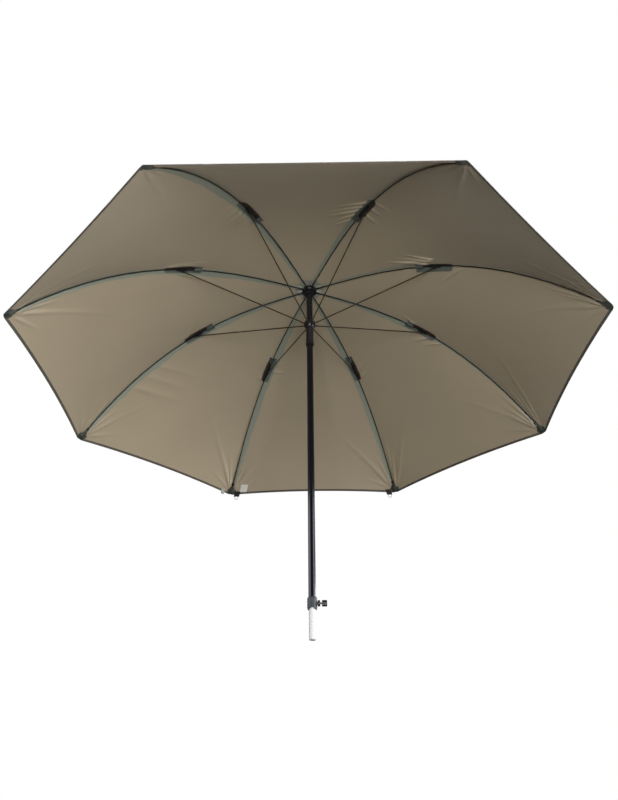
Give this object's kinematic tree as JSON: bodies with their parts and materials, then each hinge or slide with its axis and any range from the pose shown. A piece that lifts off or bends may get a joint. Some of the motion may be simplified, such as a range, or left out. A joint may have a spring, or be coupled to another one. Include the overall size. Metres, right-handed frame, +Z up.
{
  "type": "fishing umbrella",
  "caption": "Open fishing umbrella: translucent gored canopy on folding ribs and stretchers, sliding runner, two-section pole with a screw clamp.",
  "frame": {"origin": "centre of the flat face under the foot plug at the lower end of the pole", "axes": "+Z up along the pole; +X towards the clamp screw; -Y towards the side the picture was taken from"},
  "size_m": [2.0608, 2.0608, 1.4683],
  "materials": {
    "canopy_cloth": "coated woven polyester, matt, lets some light through",
    "patch_cloth": "woven polyester patch, matt",
    "fibreglass_rib": "pultruded fibreglass rod, satin dark brown",
    "black_steel": "black electrophoretic paint on steel tube",
    "black_plastic": "moulded nylon, satin black",
    "pole_enamel": "gloss black enamel on a drawn tube",
    "grey_pole": "satin pale grey tube",
    "collar_plastic": "moulded nylon, slate grey",
    "bare_steel": "drawn steel wire and pins",
    "brass": "turned brass"
  },
  "bodies": {
    "lower_pole": {"lower_pole": "grey_pole", "pole_foot_plug": "black_plastic", "lower_pole_guide": "black_plastic"},
    "upper_pole": {"upper_pole": "pole_enamel", "clamp_collar": "collar_plastic", "boss_ring": "black_plastic", "top_notch": "black_plastic", "notch_hinge_wire": "bare_steel", "crown_patch": "patch_cloth", "top_cap": "black_plastic", "catch_pin": "bare_steel"},
    "pressure_pad": {"pressure_pad": "brass"},
    "clamp_screw": {"clamp_stud": "bare_steel", "clamp_knob": "black_plastic"},
    "runner_catch": {"runner_catch": "bare_steel"},
    "runner": {"runner": "black_plastic", "runner_cover": "black_plastic", "runner_hinge_wire": "bare_steel"},
    "rib_1": {"rib_1": "fibreglass_rib", "rib_bracket_1": "black_plastic", "tip_cap_1": "black_plastic", "canopy_gore_1": "canopy_cloth"},
    "stretcher_1": {"stretcher_1": "black_steel"},
    "rib_2": {"rib_2": "fibreglass_rib", "rib_bracket_2": "black_plastic", "tip_cap_2": "black_plastic", "canopy_gore_2": "canopy_cloth"},
    "stretcher_2": {"stretcher_2": "black_steel"},
    "rib_3": {"rib_3": "fibreglass_rib", "rib_bracket_3": "black_plastic", "tip_cap_3": "black_plastic", "canopy_gore_3": "canopy_cloth"},
    "stretcher_3": {"stretcher_3": "black_steel"},
    "rib_4": {"rib_4": "fibreglass_rib", "rib_bracket_4": "black_plastic", "tip_cap_4": "black_plastic", "canopy_gore_4": "canopy_cloth"},
    "stretcher_4": {"stretcher_4": "black_steel"},
    "rib_5": {"rib_5": "fibreglass_rib", "rib_bracket_5": "black_plastic", "tip_cap_5": "black_plastic", "canopy_gore_5": "canopy_cloth"},
    "stretcher_5": {"stretcher_5": "black_steel"},
    "rib_6": {"rib_6": "fibreglass_rib", "rib_bracket_6": "black_plastic", "tip_cap_6": "black_plastic", "canopy_gore_6": "canopy_cloth"},
    "stretcher_6": {"stretcher_6": "black_steel"},
    "rib_7": {"rib_7": "fibreglass_rib", "rib_bracket_7": "black_plastic", "tip_cap_7": "black_plastic", "canopy_gore_7": "canopy_cloth"},
    "stretcher_7": {"stretcher_7": "black_steel"},
    "rib_8": {"rib_8": "fibreglass_rib", "rib_bracket_8": "black_plastic", "tip_cap_8": "black_plastic", "canopy_gore_8": "canopy_cloth"},
    "stretcher_8": {"stretcher_8": "black_steel"}
  },
  "joints": [
    {"name": "pole_extension", "type": "slide", "parent": "lower_pole", "child": "upper_pole", "axis": [0, 0, 1], "range_m": [-0.085, 0.7]},
    {"name": "runner_slide", "type": "slide", "parent": "upper_pole", "child": "runner", "axis": [0, 0, 1], "range_m": [-0.8206, 0], "deforming": ["canopy_gore_1", "canopy_gore_2", "canopy_gore_3", "canopy_gore_4", "canopy_gore_5", "canopy_gore_6", "canopy_gore_7", "canopy_gore_8"]},
    {"name": "clamp_screw_turn", "type": "hinge", "parent": "pressure_pad", "child": "clamp_screw", "pos_m": [0, 0, 0.114], "axis": [1, 0, 0], "range_deg": [0, 720]},
    {"name": "pressure_pad_slide", "type": "slide", "parent": "upper_pole", "child": "pressure_pad", "axis": [1, 0, 0], "range_m": [0, 0.0025]},
    {"name": "runner_catch_swing", "type": "hinge", "parent": "upper_pole", "child": "runner_catch", "pos_m": [0, 0.005, 1.102], "axis": [-1, 0, 0], "range_deg": [0, 5]},
    {"name": "rib_1_fold", "type": "hinge", "parent": "upper_pole", "child": "rib_1", "pos_m": [0.02032, -0.00842, 1.437], "axis": [0.3827, 0.9239, 0], "range_deg": [0, 64.17]},
    {"name": "stretcher_1_fold", "type": "hinge", "parent": "rib_1", "child": "stretcher_1", "pos_m": [0.49899, -0.20669, 1.36575], "axis": [0.3827, 0.9239, 0], "range_deg": [-124.14, 0]},
    {"name": "rib_2_fold", "type": "hinge", "parent": "upper_pole", "child": "rib_2", "pos_m": [0.02032, 0.00842, 1.437], "axis": [-0.3827, 0.9239, 0], "range_deg": [0, 64.17]},
    {"name": "stretcher_2_fold", "type": "hinge", "parent": "rib_2", "child": "stretcher_2", "pos_m": [0.49899, 0.20669, 1.36575], "axis": [-0.3827, 0.9239, 0], "range_deg": [-124.14, 0]},
    {"name": "rib_3_fold", "type": "hinge", "parent": "upper_pole", "child": "rib_3", "pos_m": [0.00842, 0.02032, 1.437], "axis": [-0.9239, 0.3827, 0], "range_deg": [0, 64.17]},
    {"name": "stretcher_3_fold", "type": "hinge", "parent": "rib_3", "child": "stretcher_3", "pos_m": [0.20669, 0.49899, 1.36575], "axis": [-0.9239, 0.3827, 0], "range_deg": [-124.14, 0]},
    {"name": "rib_4_fold", "type": "hinge", "parent": "upper_pole", "child": "rib_4", "pos_m": [-0.00842, 0.02032, 1.437], "axis": [-0.9239, -0.3827, 0], "range_deg": [0, 64.17]},
    {"name": "stretcher_4_fold", "type": "hinge", "parent": "rib_4", "child": "stretcher_4", "pos_m": [-0.20669, 0.49899, 1.36575], "axis": [-0.9239, -0.3827, 0], "range_deg": [-124.14, 0]},
    {"name": "rib_5_fold", "type": "hinge", "parent": "upper_pole", "child": "rib_5", "pos_m": [-0.02032, 0.00842, 1.437], "axis": [-0.3827, -0.9239, 0], "range_deg": [0, 64.17]},
    {"name": "stretcher_5_fold", "type": "hinge", "parent": "rib_5", "child": "stretcher_5", "pos_m": [-0.49899, 0.20669, 1.36575], "axis": [-0.3827, -0.9239, 0], "range_deg": [-124.14, 0]},
    {"name": "rib_6_fold", "type": "hinge", "parent": "upper_pole", "child": "rib_6", "pos_m": [-0.02032, -0.00842, 1.437], "axis": [0.3827, -0.9239, 0], "range_deg": [0, 64.17]},
    {"name": "stretcher_6_fold", "type": "hinge", "parent": "rib_6", "child": "stretcher_6", "pos_m": [-0.49899, -0.20669, 1.36575], "axis": [0.3827, -0.9239, 0], "range_deg": [-124.14, 0]},
    {"name": "rib_7_fold", "type": "hinge", "parent": "upper_pole", "child": "rib_7", "pos_m": [-0.00842, -0.02032, 1.437], "axis": [0.9239, -0.3827, 0], "range_deg": [0, 64.17]},
    {"name": "stretcher_7_fold", "type": "hinge", "parent": "rib_7", "child": "stretcher_7", "pos_m": [-0.20669, -0.49899, 1.36575], "axis": [0.9239, -0.3827, 0], "range_deg": [-124.14, 0]},
    {"name": "rib_8_fold", "type": "hinge", "parent": "upper_pole", "child": "rib_8", "pos_m": [0.00842, -0.02032, 1.437], "axis": [0.9239, 0.3827, 0], "range_deg": [0, 64.17]},
    {"name": "stretcher_8_fold", "type": "hinge", "parent": "rib_8", "child": "stretcher_8", "pos_m": [0.20669, -0.49899, 1.36575], "axis": [0.9239, 0.3827, 0], "range_deg": [-124.14, 0]}
  ],
  "couplings": [
    {"joint": "clamp_screw_turn", "follows": "pressure_pad_slide", "rad_per_m": 5026.5},
    {"joint": "rib_1_fold", "follows": "runner_slide", "rad_per_m": -1.3649},
    {"joint": "stretcher_1_fold", "follows": "runner_slide", "rad_per_m": 2.6404},
    {"joint": "rib_2_fold", "follows": "runner_slide", "rad_per_m": -1.3649},
    {"joint": "stretcher_2_fold", "follows": "runner_slide", "rad_per_m": 2.6404},
    {"joint": "rib_3_fold", "follows": "runner_slide", "rad_per_m": -1.3649},
    {"joint": "stretcher_3_fold", "follows": "runner_slide", "rad_per_m": 2.6404},
    {"joint": "rib_4_fold", "follows": "runner_slide", "rad_per_m": -1.3649},
    {"joint": "stretcher_4_fold", "follows": "runner_slide", "rad_per_m": 2.6404},
    {"joint": "rib_5_fold", "follows": "runner_slide", "rad_per_m": -1.3649},
    {"joint": "stretcher_5_fold", "follows": "runner_slide", "rad_per_m": 2.6404},
    {"joint": "rib_6_fold", "follows": "runner_slide", "rad_per_m": -1.3649},
    {"joint": "stretcher_6_fold", "follows": "runner_slide", "rad_per_m": 2.6404},
    {"joint": "rib_7_fold", "follows": "runner_slide", "rad_per_m": -1.3649},
    {"joint": "stretcher_7_fold", "follows": "runner_slide", "rad_per_m": 2.6404},
    {"joint": "rib_8_fold", "follows": "runner_slide", "rad_per_m": -1.3649},
    {"joint": "stretcher_8_fold", "follows": "runner_slide", "rad_per_m": 2.6404}
  ]
}
